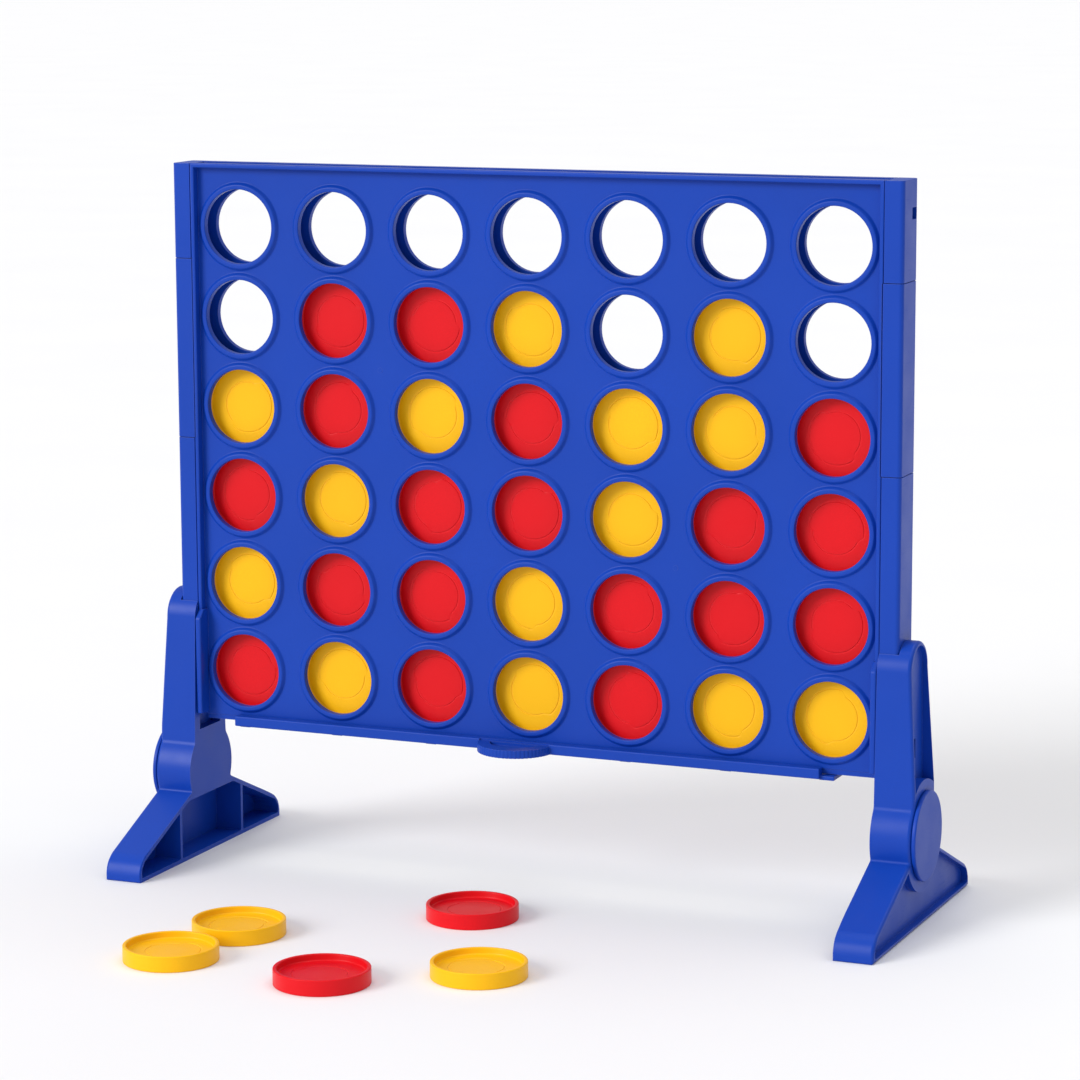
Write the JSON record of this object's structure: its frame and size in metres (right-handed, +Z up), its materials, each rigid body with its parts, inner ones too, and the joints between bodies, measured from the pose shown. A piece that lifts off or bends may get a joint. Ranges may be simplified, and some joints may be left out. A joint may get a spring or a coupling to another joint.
{
  "type": "giant four in a row game",
  "caption": "Upright board of seven disc columns on two slide-on legs, with a release slider and stacked and loose discs.",
  "frame": {"origin": "on the floor, at the middle of the footprint of the whole set, loose discs included", "axes": "+X along the board towards its right end as a player in front sees it, +Y from the front panel to the rear panel, +Z up"},
  "size_m": [0.5866, 0.4256, 0.51],
  "materials": {
    "blue_plastic": "satin moulded",
    "red_plastic": "satin moulded",
    "yellow_plastic": "satin moulded"
  },
  "bodies": {
    "board": {"front_panel": "blue_plastic", "rear_panel": "blue_plastic", "column_divider_1": "blue_plastic", "column_divider_2": "blue_plastic", "column_divider_3": "blue_plastic", "column_divider_4": "blue_plastic", "column_divider_5": "blue_plastic", "column_divider_6": "blue_plastic", "left_post_lower": "blue_plastic", "left_post_middle": "blue_plastic", "left_post_upper": "blue_plastic", "right_post_lower": "blue_plastic", "right_post_middle": "blue_plastic", "right_post_upper": "blue_plastic"},
    "release_slider": {"release_slider": "blue_plastic"},
    "left_leg": {"left_leg": "blue_plastic", "left_hub_cap": "blue_plastic"},
    "right_leg": {"right_leg": "blue_plastic", "right_hub_cap": "blue_plastic"},
    "column_1_discs": {"column_1_disc_1_red": "red_plastic", "column_1_disc_2_yellow": "yellow_plastic", "column_1_disc_3_red": "red_plastic", "column_1_disc_4_yellow": "yellow_plastic"},
    "column_2_discs": {"column_2_disc_1_yellow": "yellow_plastic", "column_2_disc_2_red": "red_plastic", "column_2_disc_3_yellow": "yellow_plastic", "column_2_disc_4_red": "red_plastic", "column_2_disc_5_red": "red_plastic"},
    "column_3_discs": {"column_3_disc_1_red": "red_plastic", "column_3_disc_2_red": "red_plastic", "column_3_disc_3_red": "red_plastic", "column_3_disc_4_yellow": "yellow_plastic", "column_3_disc_5_red": "red_plastic"},
    "column_4_discs": {"column_4_disc_1_yellow": "yellow_plastic", "column_4_disc_2_yellow": "yellow_plastic", "column_4_disc_3_red": "red_plastic", "column_4_disc_4_red": "red_plastic", "column_4_disc_5_yellow": "yellow_plastic"},
    "column_5_discs": {"column_5_disc_1_red": "red_plastic", "column_5_disc_2_red": "red_plastic", "column_5_disc_3_yellow": "yellow_plastic", "column_5_disc_4_yellow": "yellow_plastic"},
    "column_6_discs": {"column_6_disc_1_yellow": "yellow_plastic", "column_6_disc_2_red": "red_plastic", "column_6_disc_3_red": "red_plastic", "column_6_disc_4_yellow": "yellow_plastic", "column_6_disc_5_yellow": "yellow_plastic"},
    "column_7_discs": {"column_7_disc_1_yellow": "yellow_plastic", "column_7_disc_2_red": "red_plastic", "column_7_disc_3_red": "red_plastic", "column_7_disc_4_red": "red_plastic"},
    "loose_disc_1": {"loose_disc_1_yellow": "yellow_plastic"},
    "loose_disc_2": {"loose_disc_2_yellow": "yellow_plastic"},
    "loose_disc_3": {"loose_disc_3_red": "red_plastic"},
    "loose_disc_4": {"loose_disc_4_red": "red_plastic"},
    "loose_disc_5": {"loose_disc_5_yellow": "yellow_plastic"}
  },
  "joints": [
    {"name": "slider_slide", "type": "slide", "parent": "board", "child": "release_slider", "axis": [1, 0, 0], "range_m": [0, 0.0375]},
    {"name": "left_leg_slide", "type": "slide", "parent": "board", "child": "left_leg", "axis": [0, 0, 1], "range_m": [-0.1, 0]},
    {"name": "right_leg_slide", "type": "slide", "parent": "board", "child": "right_leg", "axis": [0, 0, 1], "range_m": [-0.1, 0]},
    {"name": "column_1_lift", "type": "slide", "parent": "board", "child": "column_1_discs", "axis": [0, 0, 1], "range_m": [0, 0.41]},
    {"name": "column_2_lift", "type": "slide", "parent": "board", "child": "column_2_discs", "axis": [0, 0, 1], "range_m": [0, 0.41]},
    {"name": "column_3_lift", "type": "slide", "parent": "board", "child": "column_3_discs", "axis": [0, 0, 1], "range_m": [0, 0.41]},
    {"name": "column_4_lift", "type": "slide", "parent": "board", "child": "column_4_discs", "axis": [0, 0, 1], "range_m": [0, 0.41]},
    {"name": "column_5_lift", "type": "slide", "parent": "board", "child": "column_5_discs", "axis": [0, 0, 1], "range_m": [0, 0.41]},
    {"name": "column_6_lift", "type": "slide", "parent": "board", "child": "column_6_discs", "axis": [0, 0, 1], "range_m": [0, 0.41]},
    {"name": "column_7_lift", "type": "slide", "parent": "board", "child": "column_7_discs", "axis": [0, 0, 1], "range_m": [0, 0.41]},
    {"name": "loose_disc_1_lift", "type": "slide", "parent": "board", "child": "loose_disc_1", "axis": [0, 0, 1], "range_m": [0, 0.08]},
    {"name": "loose_disc_2_lift", "type": "slide", "parent": "board", "child": "loose_disc_2", "axis": [0, 0, 1], "range_m": [0, 0.08]},
    {"name": "loose_disc_3_lift", "type": "slide", "parent": "board", "child": "loose_disc_3", "axis": [0, 0, 1], "range_m": [0, 0.08]},
    {"name": "loose_disc_4_lift", "type": "slide", "parent": "board", "child": "loose_disc_4", "axis": [0, 0, 1], "range_m": [0, 0.08]},
    {"name": "loose_disc_5_lift", "type": "slide", "parent": "board", "child": "loose_disc_5", "axis": [0, 0, 1], "range_m": [0, 0.08]}
  ]
}
